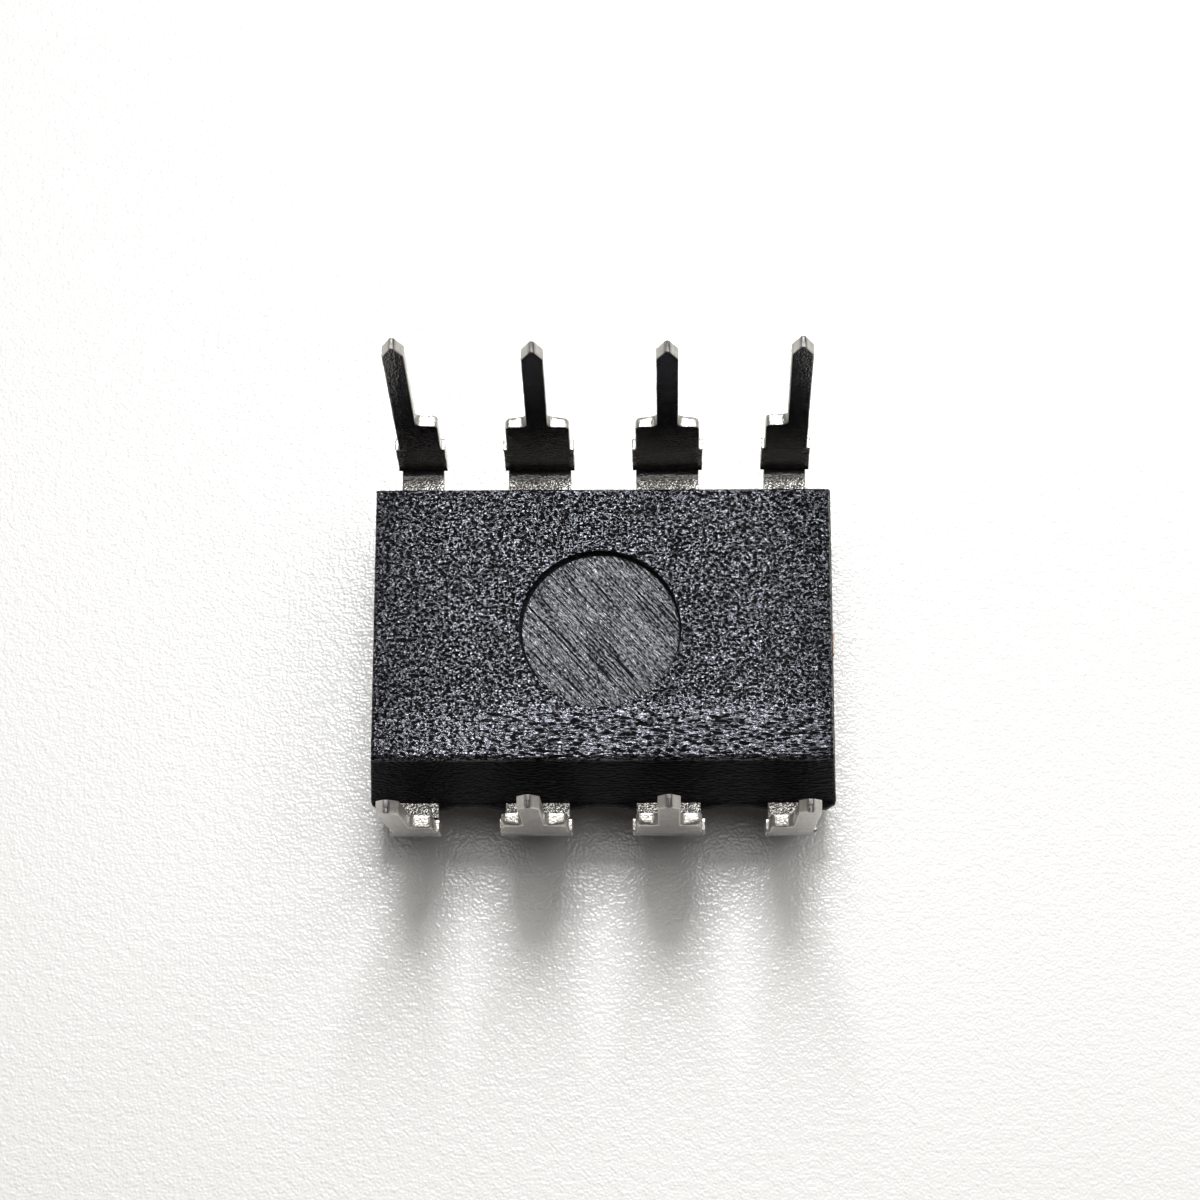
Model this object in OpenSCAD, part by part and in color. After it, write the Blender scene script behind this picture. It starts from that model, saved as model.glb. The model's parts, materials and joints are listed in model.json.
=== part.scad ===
// Eight-lead dual in-line integrated circuit, lying on its marking face with the legs up.
// The origin is the centre of the marking face. X runs along the rows of leads and Z points up.
// Leads 1 to 4 are in the +Y row from -X to +X, and leads 5 to 8 come back along the -Y row.

/* [Body] */
// Length of the body at the leads
body_length = 9.03; // [8.9:0.01:10.2]
// Width of the body at the leads
body_width = 6.42; // [6.1:0.01:6.6]
// Height of the half with the underside, above the middle of the leads
underside_half = 1.7; // [1.4:0.05:2]
// Height of the half with the marking face, below the middle of the leads
marking_half = 1.6; // [1.3:0.05:2]
// Draft of the two long walls, in degrees
side_draft = 18.4; // [6:0.1:20]
// Draft of the two end walls, in degrees
end_draft = 4; // [2:1:10]
// Chamfer round the underside and the marking face
edge_chamfer = 0.06; // [0.03:0.01:0.12]

/* [Ejector mark and pin one notch] */
// Diameter of the round mark that the ejector leaves in the underside
mark_diameter = 3.12; // [2:0.1:3.6]
// Depth of the ejector mark
mark_depth = 0.12; // [0.04:0.01:0.25]
// Distance of the ejector mark from the middle of the body towards -Y
mark_shift = 0.12; // [0:0.02:0.3]
// Diameter of the half-round notch at the end where lead 1 is
notch_diameter = 1.6; // [1:0.1:2]
// Depth of the notch below the marking face
notch_depth = 0.55; // [0.3:0.05:0.8]

/* [Mould web beside the leads] */
// Reach of the web beyond the long walls, beside a lead, when the body is in the middle of the frame
web_reach = 0.06; // [0.06:0.01:0.12]
// Depth of the scallop in the web between two leads
web_sag = 0.1; // [0.06:0.01:0.12]
// Distance by which the web lies towards -Y, because the body sits off the middle of the frame
web_shift = 0.05; // [0.03:0.01:0.05]
// Reach of the web just outside a corner lead of the +Y row
web_heel = 0.07; // [0.04:0.01:0.14]
// Length along the wall in which the web falls away outside a corner lead of the +Y row
web_fall = 0.18; // [0.1:0.02:0.2]
// Length along the wall of the slanted cut that ends the web at each corner of the -Y row
web_corner = 0.18; // [0.1:0.02:0.24]

/* [Leads] */
// Pitch of the leads along a row
lead_pitch = 2.54; // [2.5:0.01:2.58]
// Thickness of the lead frame's sheet
sheet = 0.25; // [0.2:0.01:0.3]
// Width of the shoulder, the wide upper part of a lead
shoulder_width = 1.25; // [1.1:0.05:1.4]
// Width of the leg, the narrow part that enters the board
leg_width = 0.42; // [0.36:0.01:0.56]
// Distance between the inner faces of the two rows, at the middle of the leads
row_gap = 7.2; // [7.1:0.02:7.6]
// Angle by which the inner leads of each row lean outward
splay = 7; // [0:1:12]
// Angle by which the corner leads lean outward
corner_splay = 8; // [0:1:12]
// Angle by which the leg of lead 1 leans along the row, away from lead 2
first_lean = 0.9; // [0:0.1:2]
// Inner radius of the bend
bend_radius = 0.2; // [0.1:0.01:0.25]
// Length along a lead from its middle plane to the shoulder's step
shoulder_length = 2.05; // [1.8:0.05:2.5]
// Length of the leg from the step to its tip
leg_length = 3.1; // [2.9:0.05:3.8]
// Fillet between the step and the leg
step_fillet = 0.18; // [0.08:0.01:0.22]
// Radius of the shoulder's outer corners
step_corner = 0.1; // [0.03:0.01:0.12]
// Length of the tapered tip
tip_taper = 0.3; // [0.15:0.01:0.4]
// Width of the flat end of the tip
tip_width = 0.1; // [0.06:0.01:0.16]
// Overhang of the stubs that the cut tie between leads leaves on each side
stub_overhang = 0.07; // [0.03:0.01:0.1]
// Distance along a lead at which the stubs begin
stub_start = 0.12; // [0.1:0.01:0.2]
// Length of the stubs along the lead
stub_length = 0.94; // [0.4:0.02:1.2]

/* [Lead frame inside the body] */
// Length of the paddle that carries the die
paddle_length = 2.9; // [2.6:0.1:3.2]
// Width of the paddle
paddle_width = 2.2; // [1.9:0.1:2.3]
// Height by which the paddle is set towards the underside
paddle_offset = 0.2; // [0.1:0.01:0.3]
// Width of the two tie bars that held the paddle to the frame
tie_bar_width = 0.4; // [0.25:0.05:0.45]
// Length by which a cut tie bar stands out of the end wall
tie_bar_stub = 0.02; // [0.01:0.01:0.05]
// Gap between the paddle and the fingers
finger_gap = 0.4; // [0.3:0.05:0.5]
// Width of a finger's inner end
finger_width = 0.55; // [0.4:0.05:0.6]
// Depth in the body at which a finger narrows, which locks it in the moulding
finger_lock = 0.55; // [0.4:0.05:0.7]

/* [Die] */
// Length of the die
die_length = 1.5; // [1.2:0.1:1.8]
// Width of the die
die_width = 1.2; // [1:0.1:1.5]
// Thickness of the die
die_thickness = 0.28; // [0.2:0.02:0.34]
// Thickness of the adhesive between die and paddle
adhesive_thickness = 0.03; // [0.02:0.01:0.05]
// Width of the adhesive that shows round the die
adhesive_border = 0.06; // [0.02:0.01:0.1]

/* [Bond wires] */
// Diameter of a bond wire
wire_diameter = 0.033; // [0.025:0.001:0.05]
// Height of a wire's loop above the die
wire_loop = 0.2; // [0.14:0.01:0.26]
// Diameter of the ball on the die and of the bond on the finger
bond_diameter = 0.1; // [0.07:0.01:0.12]
// Height of the ball and of the bond on the finger
bond_height = 0.02; // [0.01:0.005:0.03]
// Distance of a wire's two bonds from the edges that they are next to
bond_inset = 0.16; // [0.1:0.01:0.2]

/* [Hidden] */

leads_in_row = 4;
lead_numbers = [1 : 2 * leads_in_row];
lead_middle = marking_half;
body_height = marking_half + underside_half;
sheet_low = lead_middle - sheet / 2;
sheet_high = lead_middle + sheet / 2;
row_half_gap = row_gap / 2;
// Angles between the points of a bend and of a wire's loop, and the number of steps on a small corner
arc_step = 7.5;
wire_arc_step = 15;
corner_steps = 4;
// How far cutters run past what they cut
overrun = 1;
mould_black = [0.09, 0.09, 0.1];
tin_plate = [0.8, 0.79, 0.76];
copper_alloy = [0.75, 0.48, 0.32];
gold = [0.88, 0.7, 0.28];

tip_end = shoulder_length + leg_length;

// Paddle, adhesive, die and wires are stacked from the paddle towards the marking face
paddle_low = sheet_low + paddle_offset;
adhesive_low = paddle_low - adhesive_thickness;
die_low = adhesive_low - die_thickness;

// Place of a lead in its row, from 0 at -X, and that lead's centre line
function place_in_row(n) = n <= leads_in_row ? n - 1 : 2 * leads_in_row - n;
function lead_x(n) = (place_in_row(n) - (leads_in_row - 1) / 2) * lead_pitch;
function is_outer(n) = place_in_row(n) == 0 || place_in_row(n) == leads_in_row - 1;
// The shoulder's half width towards +X or -X: a corner lead's shoulder has no outer half
function half_shoulder(n, side) =
    is_outer(n) && sign(lead_x(n)) == side ? leg_width / 2 : shoulder_width / 2;
function mirrored(points) = [for (i = [len(points) - 1 : -1 : 0]) [-points[i][0], points[i][1]]];
// How lead n leans outward and along the row
function outward(n) = is_outer(n) ? corner_splay : splay;
function sideways(n) = n == 1 ? first_lean : 0;

// Centre of the bend of a lead with the given splay, and where it ends along the lead's inner face
bend_z = sheet_high + bend_radius;
function bend_end(angle) = (sheet / 2 + bend_radius * (1 - sin(angle))) / cos(angle);
function bend_y(angle) = row_half_gap + bend_end(angle) * sin(angle) - bend_radius * cos(angle);

// Half of a lead's outline from the bend to the tip, for a shoulder of the given half width
function half_outline(half) = concat(
    [[half, -overrun], [half, stub_start], [half + stub_overhang, stub_start],
        [half + stub_overhang, stub_start + stub_length], [half, stub_start + stub_length]],
    half > leg_width / 2 ? concat(
        [for (i = [0 : corner_steps]) let (a = i * 90 / corner_steps)
            [half - step_corner * (1 - cos(a)), shoulder_length - step_corner * (1 - sin(a))]],
        [for (i = [0 : corner_steps]) let (a = i * 90 / corner_steps)
            [leg_width / 2 + step_fillet * (1 - sin(a)), shoulder_length + step_fillet * (1 - cos(a))]]) : [],
    [[leg_width / 2, tip_end - tip_taper], [tip_width / 2, tip_end]]);

// Whole outline of lead n, whose leg leans along the row from the bend on
function lead_outline(n) = [
    for (p = concat(half_outline(half_shoulder(n, 1)), mirrored(half_outline(half_shoulder(n, -1)))))
        [p[0] - max(0, p[1] - bend_end(outward(n))) * tan(sideways(n)), p[1]]];

// Side view of the sheet with a given splay: level in the body, round the bend, and up the leg
function bend_arc(angle, radius) = [for (a = [0 : arc_step : 90 - angle - arc_step / 2])
    [bend_y(angle) + radius * sin(a), bend_z - radius * cos(a)]];
function reversed(points) = [for (i = [len(points) - 1 : -1 : 0]) points[i]];
function on_leg(angle, along, out) = [row_half_gap + along * sin(angle) + out * cos(angle),
    lead_middle + along * cos(angle) - out * sin(angle)];
function side_view(angle) = concat(
    [[body_width / 2 - finger_lock, sheet_low]], bend_arc(angle, bend_radius + sheet),
    [on_leg(angle, bend_end(angle), sheet), on_leg(angle, tip_end, sheet)],
    [on_leg(angle, tip_end, 0), on_leg(angle, bend_end(angle), 0)],
    reversed(bend_arc(angle, bend_radius)),
    [[body_width / 2 - finger_lock, sheet_high]]);

// Plan of the finger inside the body, from the lead's own centre line, for a lead in the +Y row
lock_y = body_width / 2 - finger_lock;
inner_end_y = paddle_width / 2 + finger_gap;
outer_end_x = paddle_length / 2 + finger_gap;
outer_finger_y = (tie_bar_width + paddle_width) / 4;
function inner_finger() = [[-shoulder_width / 2, body_width / 2], [-shoulder_width / 2, lock_y],
    [-finger_width / 2, lock_y - shoulder_width / 4], [-finger_width / 2, inner_end_y],
    [finger_width / 2, inner_end_y], [finger_width / 2, lock_y - shoulder_width / 4],
    [shoulder_width / 2, lock_y], [shoulder_width / 2, body_width / 2]];
// The same for a corner lead on the +X side, which turns in towards the end of the paddle
function outer_finger(x) = [[leg_width / 2, body_width / 2], [leg_width / 2, lock_y - finger_width],
    [-leg_width / 2, outer_finger_y - finger_width / 2], [outer_end_x - x, outer_finger_y - finger_width / 2],
    [outer_end_x - x, outer_finger_y + finger_width / 2],
    [-shoulder_width / 2 - leg_width / 2, outer_finger_y + finger_width / 2],
    [-shoulder_width / 2, outer_finger_y + finger_width], [-shoulder_width / 2, body_width / 2]];

// Puts what is drawn for the +Y row where lead n is
module in_row(n) {
    translate([lead_x(n), 0, 0]) mirror([0, n <= leads_in_row ? 0 : 1, 0]) children();
}

module finger(n) {
    points = is_outer(n) ? outer_finger(abs(lead_x(n))) : inner_finger();
    translate([0, 0, sheet_low]) linear_extrude(sheet)
        polygon(is_outer(n) && lead_x(n) < 0 ? mirrored(points) : points);
}

module shoulder_and_leg(n) {
    intersection() {
        translate([-shoulder_width, 0, 0]) rotate([90, 0, 90]) linear_extrude(2 * shoulder_width)
            polygon(side_view(outward(n)));
        translate([0, row_half_gap, lead_middle]) rotate([90 - outward(n), 0, 0])
            translate([0, 0, -overrun]) linear_extrude(overrun + body_width) polygon(lead_outline(n));
    }
}

module lead(n) {
    color(tin_plate) in_row(n) union() {
        finger(n);
        shoulder_and_leg(n);
    }
}

// Half of the paddle and one tie bar seen from the front, cut off just outside the end wall
function paddle_half() = [[0, paddle_low], [paddle_length / 2, paddle_low],
    [paddle_length / 2 + paddle_offset, sheet_low], [body_length / 2 + tie_bar_stub, sheet_low],
    [body_length / 2 + tie_bar_stub, sheet_high], [paddle_length / 2 + paddle_offset, sheet_high],
    [paddle_length / 2, paddle_low + sheet], [0, paddle_low + sheet]];

module die_paddle() {
    color(copper_alloy) intersection() {
        rotate([90, 0, 0]) linear_extrude(paddle_width, center = true)
            polygon(concat(paddle_half(), mirrored(paddle_half())));
        union() {
            translate([-paddle_length / 2, -paddle_width / 2, 0])
                cube([paddle_length, paddle_width, body_height]);
            translate([-body_length, -tie_bar_width / 2, 0])
                cube([2 * body_length, tie_bar_width, body_height]);
        }
    }
}

module die_adhesive() {
    size_x = die_length + 2 * adhesive_border;
    size_y = die_width + 2 * adhesive_border;
    color("silver") translate([-size_x / 2, -size_y / 2, adhesive_low])
        cube([size_x, size_y, adhesive_thickness]);
}

module silicon_die() {
    color("slategray") translate([-die_length / 2, -die_width / 2, die_low])
        cube([die_length, die_width, die_thickness]);
}

// Where the wire of lead n starts on the die and ends on the finger, as plan points
function side_of(n) = [sign(lead_x(n)), n <= leads_in_row ? 1 : -1];
function die_bond(n) = is_outer(n) ?
    [side_of(n)[0] * (die_length / 2 - bond_inset), side_of(n)[1] * (die_width / 4)] :
    [side_of(n)[0] * (die_length / 4), side_of(n)[1] * (die_width / 2 - bond_inset)];
function finger_bond(n) = is_outer(n) ?
    [side_of(n)[0] * (outer_end_x + bond_inset), side_of(n)[1] * outer_finger_y] :
    [lead_x(n), side_of(n)[1] * (inner_end_y + bond_inset)];

// A wire seen from the side, as [distance, height below the die's face]: it leaves the ball square,
// loops over and comes down square on the finger, which lies above the die's face by the finger's drop
function wire_path(span, drop) = let (r = wire_loop / 2) concat(
    [[0, bond_height]],
    [for (a = [0 : wire_arc_step : 90]) [r * (1 - cos(a)), wire_loop - r * (1 - sin(a))]],
    [for (a = [0 : wire_arc_step : 90])
        [span - r + r * sin(a), (wire_loop + drop) / 2 - r / 2 + r * cos(a) / 2]],
    [[span, drop + bond_height]]);
function unit(v) = v / norm(v);
function step_to(path, i) = unit(path[i] - path[i - 1]);
function path_normal(path, i) = let (
    along = unit(step_to(path, max(i, 1)) + step_to(path, min(i + 1, len(path) - 1))))
    [-along[1], along[0]];
wire_sides = 8;
function wire_ring(path, i) = [for (k = [0 : wire_sides - 1]) let (
    a = 360 * (k + 0.5) / wire_sides,
    p = path[i] + path_normal(path, i) * wire_diameter / 2 * cos(a))
    [p[0], wire_diameter / 2 * sin(a), -p[1]]];

module swept_wire(path) {
    rings = len(path);
    points = [for (i = [0 : rings - 1]) each wire_ring(path, i)];
    walls = [for (i = [0 : rings - 2]) for (k = [0 : wire_sides - 1]) let (
        a = i * wire_sides + k, b = i * wire_sides + (k + 1) % wire_sides)
        [a, b, b + wire_sides, a + wire_sides]];
    caps = [[for (k = [wire_sides - 1 : -1 : 0]) k],
        [for (k = [0 : wire_sides - 1]) (rings - 1) * wire_sides + k]];
    polyhedron(points = points, faces = concat(walls, caps));
}

module bond_wire(n) {
    start = die_bond(n);
    run = finger_bond(n) - start;
    drop = die_low - sheet_low;
    color(gold) translate([start[0], start[1], die_low]) rotate([0, 0, atan2(run[1], run[0])]) union() {
        translate([0, 0, -bond_height]) cylinder(h = bond_height, d = bond_diameter, $fn = 12);
        swept_wire(wire_path(norm(run), drop));
        translate([norm(run), 0, -drop - bond_height]) cylinder(h = bond_height, d = bond_diameter, $fn = 12);
    }
}

// How far a drafted wall of the underside's or the marking half draws in from the sheet to its face
function draws_in(height, draft) = (height - sheet / 2) * tan(draft);

// Outline of the drafted body in one direction, from its half width at the leads. The two halves of the
// mould close on the two faces of the sheet, so the wall stands upright between them.
function drafted(half, draft) = let (
    high = half - draws_in(underside_half, draft),
    low = half - draws_in(marking_half, draft),
    c = edge_chamfer)
    [[-low + c, 0], [low - c, 0], [low, c], [half, sheet_low], [half, sheet_high], [high, body_height - c],
        [high - c, body_height], [-high + c, body_height], [-high, body_height - c],
        [-half, sheet_high], [-half, sheet_low], [-low, c]];

module drafted_block() {
    intersection() {
        translate([-body_length, 0, 0]) rotate([90, 0, 90]) linear_extrude(2 * body_length)
            polygon(drafted(body_width / 2, side_draft));
        translate([0, body_width, 0]) rotate([90, 0, 0]) linear_extrude(2 * body_width)
            polygon(drafted(body_length / 2, end_draft));
    }
}

// Thin web of moulding level with the leads, scalloped between them and cut back at the corners.
// Its right half starts at the middle of the corner lead of the +Y row and goes round clockwise.
function web_half(x, y, lead_middle_x) = concat(
    [[lead_middle_x, y + web_reach - web_shift]],
    [for (i = [0 : corner_steps]) let (a = i * 90 / corner_steps)
        [lead_middle_x + leg_width / 2 + web_fall * (1 - cos(a)), y + web_heel * (1 - sin(a))]],
    [[x, y], [x, -y], [x - web_corner, -y - web_reach - web_shift]]);
module web_plan() {
    y = body_width / 2;
    half = web_half(body_length / 2, y, lead_x(leads_in_row));
    gap = lead_pitch - shoulder_width;
    scallop_radius = (gap * gap / 4 + web_sag * web_sag) / (2 * web_sag);
    scallop_y = y + web_reach - web_sag + scallop_radius;
    difference() {
        polygon(concat(half, mirrored(half)));
        for (side = [-1, 1], i = [1 : leads_in_row - 1])
            translate([(i - leads_in_row / 2) * lead_pitch, side * scallop_y - web_shift])
                circle(r = scallop_radius, $fn = 96);
    }
}

module moulded_body() {
    color(mould_black) difference() {
        union() {
            drafted_block();
            translate([0, 0, sheet_low]) linear_extrude(sheet) web_plan();
        }
        translate([0, -mark_shift, body_height - mark_depth])
            cylinder(h = mark_depth + overrun, d = mark_diameter, $fn = 128);
        translate([-body_length / 2 + draws_in(marking_half, end_draft), 0, -overrun])
            cylinder(h = notch_depth + overrun, d = notch_diameter, $fn = 64);
        for (n = lead_numbers) lead(n);
        die_paddle();
        die_adhesive();
        silicon_die();
        for (n = lead_numbers) bond_wire(n);
    }
}

moulded_body();
lead(1);  // lead_1
lead(2);  // lead_2
lead(3);  // lead_3
lead(4);  // lead_4
lead(5);  // lead_5
lead(6);  // lead_6
lead(7);  // lead_7
lead(8);  // lead_8
die_paddle();
die_adhesive();
silicon_die();
bond_wire(1);  // bond_wire_1
bond_wire(2);  // bond_wire_2
bond_wire(3);  // bond_wire_3
bond_wire(4);  // bond_wire_4
bond_wire(5);  // bond_wire_5
bond_wire(6);  // bond_wire_6
bond_wire(7);  // bond_wire_7
bond_wire(8);  // bond_wire_8
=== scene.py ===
import json
import math

import bmesh
import bpy
import numpy as np
from mathutils import Matrix, Vector

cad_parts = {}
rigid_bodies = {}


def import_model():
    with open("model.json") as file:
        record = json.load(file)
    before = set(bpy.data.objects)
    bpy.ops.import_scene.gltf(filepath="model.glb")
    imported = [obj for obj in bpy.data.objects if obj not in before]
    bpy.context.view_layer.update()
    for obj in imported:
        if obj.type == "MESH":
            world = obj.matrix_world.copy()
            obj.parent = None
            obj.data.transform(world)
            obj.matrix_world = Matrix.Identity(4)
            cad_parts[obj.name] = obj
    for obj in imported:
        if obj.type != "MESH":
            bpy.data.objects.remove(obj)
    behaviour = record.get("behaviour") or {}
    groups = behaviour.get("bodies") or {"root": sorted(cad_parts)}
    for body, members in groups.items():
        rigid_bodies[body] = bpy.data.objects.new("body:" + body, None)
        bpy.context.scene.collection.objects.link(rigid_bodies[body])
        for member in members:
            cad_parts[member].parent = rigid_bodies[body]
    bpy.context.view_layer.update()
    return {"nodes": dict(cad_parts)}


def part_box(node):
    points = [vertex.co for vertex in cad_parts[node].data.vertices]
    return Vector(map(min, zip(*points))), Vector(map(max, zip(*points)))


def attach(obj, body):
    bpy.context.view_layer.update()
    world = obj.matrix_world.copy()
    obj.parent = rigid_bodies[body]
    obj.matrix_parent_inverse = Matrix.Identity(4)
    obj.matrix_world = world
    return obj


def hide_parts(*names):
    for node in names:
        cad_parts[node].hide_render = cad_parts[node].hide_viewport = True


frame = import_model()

# Eight-lead dual in-line integrated circuit, lying on its marking face with the legs up.
# Shapes are worked out in millimetres and written into the meshes in metres.

mm = 0.001
perMm = 1000.0  # texture scales are per metre, so this many make one per millimetre
bodyHigh = np.array(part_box("moulded_body")[1]) / mm
leadLow = np.array(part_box("lead_2")[0]) / mm
bodyHeight = bodyHigh[2]
bodyHalfLength = bodyHigh[0]
sheetThickness = 0.25
partingHeight = leadLow[2] + sheetThickness / 2  # the leads' own middle plane
print("frame: body %.2f long and %.2f high, parting plane at %.2f" % (
    2 * bodyHalfLength, bodyHeight, partingHeight))


# Smooth random field from 0 to 1: each point blends the eight random values at the corners of its unit cell,
# weighted along each axis by 6t^5 - 15t^4 + 10t^3.
def smoothNoise(points, seed):
    table = np.random.default_rng(seed).random(4096)
    cell = np.floor(points).astype(np.int64)
    t = points - cell
    weight = t * t * t * (t * (t * 6 - 15) + 10)
    total = np.zeros(points.shape[:-1])
    for corner in np.ndindex(2, 2, 2):
        near = cell + np.array(corner)
        index = (near[..., 0] * 73856093 ^ near[..., 1] * 19349663 ^ near[..., 2] * 83492791) & 4095
        share = np.prod(np.where(np.array(corner) == 1, weight, 1 - weight), axis=-1)
        total += table[index] * share
    return total


# Quads of a grid with rows by columns points, numbered row by row from first; closed joins the last column to
# the first one.
def gridQuads(rows, columns, first=0, closed=False):
    down = np.arange(rows - 1)[:, None]
    across = np.arange(columns if closed else columns - 1)[None, :]
    after = (across + 1) % columns
    corners = [down * columns + across, down * columns + after,
               (down + 1) * columns + after, (down + 1) * columns + across]
    return np.stack(corners, axis=-1).reshape(-1, 4) + first


# Six times the signed volume of a closed quad mesh is the sum of a . (b x c) over its triangles.
def signedVolume(points, quads):
    a, b, c, d = (points[quads[:, k]] for k in range(4))
    return (np.einsum("ij,ij->i", a, np.cross(b, c)) + np.einsum("ij,ij->i", a, np.cross(c, d))).sum() / 6


# Puts a new object with this data into the scene.
def addObject(name, data):
    item = bpy.data.objects.new(name, data)
    bpy.context.scene.collection.objects.link(item)
    return item


# Object from millimetre points and quads: the faces are turned outward, points that coincide become one and
# faces that shrink to nothing go away. Attributes are one number or one vector for each point.
def makePiece(name, points, quads, materials, materialIndex=None, attributes=None):
    if signedVolume(points, quads) < 0:
        quads = quads[:, ::-1]
    mesh = bpy.data.meshes.new(name)
    mesh.from_pydata(points * mm, [], quads)
    for attributeName, values in (attributes or {}).items():
        kind, field = ("FLOAT", "value") if values.ndim == 1 else ("FLOAT_VECTOR", "vector")
        attribute = mesh.attributes.new(attributeName, kind, "POINT")
        attribute.data.foreach_set(field, values.astype(np.float32).ravel())
    for material in materials:
        mesh.materials.append(material)
    if materialIndex is not None:
        mesh.polygons.foreach_set("material_index", materialIndex.astype(np.int32))
    work = bmesh.new()
    work.from_mesh(mesh)
    bmesh.ops.remove_doubles(work, verts=work.verts, dist=2e-7)
    bmesh.ops.dissolve_degenerate(work, edges=work.edges, dist=1e-7)
    work.to_mesh(mesh)
    work.free()
    mesh.polygons.foreach_set("use_smooth", np.ones(len(mesh.polygons), bool))
    mesh.update()
    return addObject(name, mesh)


# A vector field of a mesh's vertices or normals as an array with three columns.
def readVectors(items, field):
    values = np.zeros(len(items) * 3, np.float32)
    items.foreach_get(field, values)
    return values.reshape(-1, 3).astype(float)


# Adds the same third coordinate to every point of an array.
def raised(plan, height):
    return np.concatenate([plan, np.full((*plan.shape[:-1], 1), float(height))], -1)


# Materials

# Adds a node: settings are its own options, and inputs are sockets to link or values to set, by name or number.
def addNode(tree, kind, settings=None, inputs=None):
    node = tree.nodes.new("ShaderNode" + kind)
    for key, value in (settings or {}).items():
        setattr(node, key, value)
    for key, value in (inputs or {}).items():
        if isinstance(value, bpy.types.NodeSocket):
            tree.links.new(value, node.inputs[key])
        else:
            node.inputs[key].default_value = value
    return node


# New material with its Principled shader; constants go straight on the shader's own sockets.
def startMaterial(name, **sockets):
    material = bpy.data.materials.new(name)
    material.use_nodes = True
    tree = material.node_tree
    shader = tree.nodes["Principled BSDF"]
    for key, value in sockets.items():
        shader.inputs[key.replace("_", " ")].default_value = value
    return material, tree, shader


# Links each field to the shader's socket of that name.
def feed(tree, shader, **fields):
    for key, field in fields.items():
        tree.links.new(field, shader.inputs[key.replace("_", " ")])


# Places stretched, turned or shifted by a Mapping node.
def mapped(tree, places, scale=(1, 1, 1), rotation=(0, 0, 0), location=(0, 0, 0)):
    return addNode(tree, "Mapping", inputs={"Vector": places, "Scale": scale, "Rotation": rotation,
                                            "Location": location}).outputs["Vector"]


# Object coordinates, mapped in the same way.
def objectPlaces(tree, *mapping, **namedMapping):
    return mapped(tree, addNode(tree, "TexCoord").outputs["Object"], *mapping, **namedMapping)


# Smooth noise from 0 to 1: detail adds finer octaves, each weaker than the last by roughness.
def noiseField(tree, vector, scale, detail=3.0, roughness=0.6, distortion=0.0):
    return addNode(tree, "TexNoise", inputs={"Vector": vector, "Scale": scale, "Detail": detail,
                                             "Roughness": roughness, "Distortion": distortion}).outputs["Fac"]


# Distance to the nearest of scattered points.
def cellField(tree, vector, scale):
    return addNode(tree, "TexVoronoi", inputs={"Vector": vector, "Scale": scale}).outputs["Distance"]


# Maps a field from one range to another, held at the ends.
def remap(tree, value, low, high, toLow=0.0, toHigh=1.0):
    return addNode(tree, "MapRange", inputs={"Value": value, "From Min": low, "From Max": high,
                                             "To Min": toLow, "To Max": toHigh}).outputs["Result"]


# Two fields taken together by one operation of the Math node.
def combine(tree, operation, a, b):
    return addNode(tree, "Math", {"operation": operation}, {0: a, 1: b}).outputs[0]


# Product of the fields.
def product(tree, first, *others):
    for field in others:
        first = combine(tree, "MULTIPLY", first, field)
    return first


# Sum of the fields, each times its weight.
def weighted(tree, *pairs):
    fields = [field if weight == 1 else product(tree, field, weight) for field, weight in pairs]
    first = fields[0]
    for field in fields[1:]:
        first = combine(tree, "ADD", first, field)
    return first


# Value between low and high by share; both may be numbers or sockets.
def blend(tree, share, low, high):
    return addNode(tree, "Mix", {"data_type": "FLOAT"}, {0: share, 2: low, 3: high}).outputs[0]


# Colour between low and high by share; both may be colours or sockets.
def mixColours(tree, share, low, high):
    low, high = [(*colour, 1.0) if isinstance(colour, tuple) else colour for colour in (low, high)]
    return addNode(tree, "Mix", {"data_type": "RGBA"}, {0: share, 6: low, 7: high}).outputs[2]


# Normal tipped by the slope of height times distance, on top of the normal under it.
def addBump(tree, height, distance, under=None):
    inputs = {"Height": height, "Distance": distance}
    if under is not None:
        inputs["Normal"] = under
    return addNode(tree, "Bump", inputs=inputs).outputs["Normal"]


mouldLook = {
    "black": (0.0030, 0.0030, 0.0035),
    "grey": (0.0075, 0.0075, 0.0085),
    "filler": (0.032, 0.032, 0.035),  # specks of silica filler
    "grainPerMm": 15.5,  # grain that spark erosion left in the mould
    "grainDepth": 0.086,
    "grainStart": (0.0371, 0.0913, 0.0529),  # keeps the noise's own lattice off the faces
    "stretch": 0.8,  # of the grain along X
    "pitEnd": 0.42,  # heights of the grain at which the pits end and the ridges begin
    "ridgeStart": 0.49,
    "finePerMm": 24.0,
    "fineDepth": 0.005,
    "specksPerMm": 16.0,
    "cloudsPerMm": 1.1,
    "gloss": (0.20, 0.26),  # roughness of the two faces, from the ridges to the pits
    "wallGloss": 0.5,  # the drafted walls are rougher
    "shine": (0.94, 0.01),  # specular level on the ridges and in the pits, which see little light
    "wallShine": 0.05,
    "ior": 1.8,  # of the silica-filled skin
    "tint": (0.86, 0.88, 1.0, 1.0),
    "bandFrom": -1.45,  # towards the -Y rim the grain is drawn out along X
    "bandFull": -2.0,
    "bandLeft": -3.0,  # and less so towards -X
    "bandRight": -1.2,
    "bandShares": (0.35, 0.85),  # at the left and at the right
    "bandStretch": 0.40,
    "bandShine": 0.55,  # the drawn grain shines this much as the plain one
    "endFrom": 3.0,  # towards both ends the face is duller
    "endFull": 4.45,
    "endShine": 0.55,
    "faceFrom": 0.16,  # depth below a face at which the wall's finish ends
    "faceFull": 0.09,
}


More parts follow.
